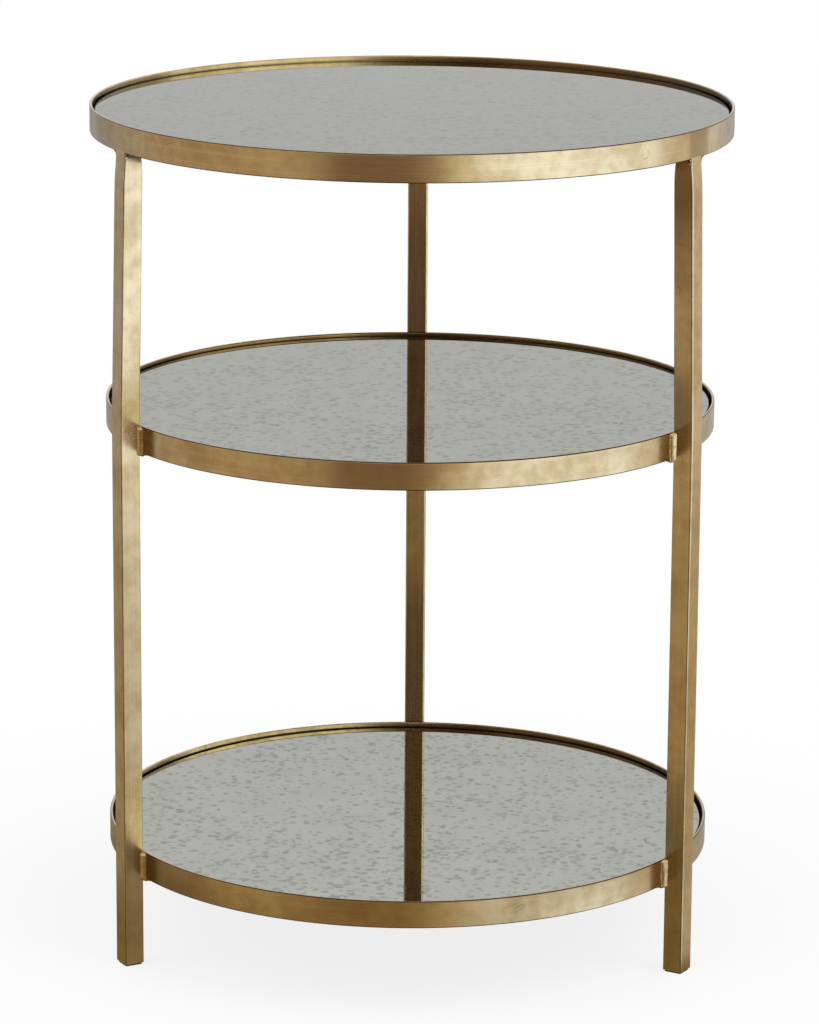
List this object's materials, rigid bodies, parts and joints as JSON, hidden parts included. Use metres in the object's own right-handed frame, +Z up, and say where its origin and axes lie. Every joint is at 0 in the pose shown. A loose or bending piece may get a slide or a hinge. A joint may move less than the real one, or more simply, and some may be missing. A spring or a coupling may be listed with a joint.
{
  "type": "tiered side table",
  "caption": "Round tiered side table: square brass-finished legs carry flat-bar hoops, each with an antiqued mirror shelf let in just below its rim.",
  "frame": {"origin": "on the floor, on the table's upright axis", "axes": "+Z up; +Y towards the back leg; the front legs stand at -X -Y and +X -Y"},
  "size_m": [0.4572, 0.4624, 0.608],
  "materials": {
    "aged_brass": "aged, satin brushed",
    "brass_weld": "rough weld under the same brass finish",
    "antiqued_mirror": "grey antiqued silvering with foxing",
    "backing_board": "dark stained fibreboard",
    "mirror_adhesive": "matt mastic",
    "zinc_screw": "zinc plated",
    "foot_rubber": "matt"
  },
  "bodies": {
    "root": {"leg_back": "aged_brass", "leg_front_left": "aged_brass", "leg_front_right": "aged_brass", "foot_pad_back": "foot_rubber", "foot_pad_front_left": "foot_rubber", "foot_pad_front_right": "foot_rubber", "top_hoop": "aged_brass", "top_ledge": "aged_brass", "top_ledge_welds": "brass_weld", "top_board": "backing_board", "top_board_screws": "zinc_screw", "top_mirror_adhesive": "mirror_adhesive", "top_mirror": "antiqued_mirror", "top_hoop_welds": "brass_weld", "middle_hoop": "aged_brass", "middle_ledge": "aged_brass", "middle_ledge_welds": "brass_weld", "middle_board": "backing_board", "middle_board_screws": "zinc_screw", "middle_mirror_adhesive": "mirror_adhesive", "middle_mirror": "antiqued_mirror", "middle_hoop_welds": "brass_weld", "bottom_hoop": "aged_brass", "bottom_ledge": "aged_brass", "bottom_ledge_welds": "brass_weld", "bottom_board": "backing_board", "bottom_board_screws": "zinc_screw", "bottom_mirror_adhesive": "mirror_adhesive", "bottom_mirror": "antiqued_mirror", "bottom_hoop_welds": "brass_weld"}
  },
  "joints": []
}
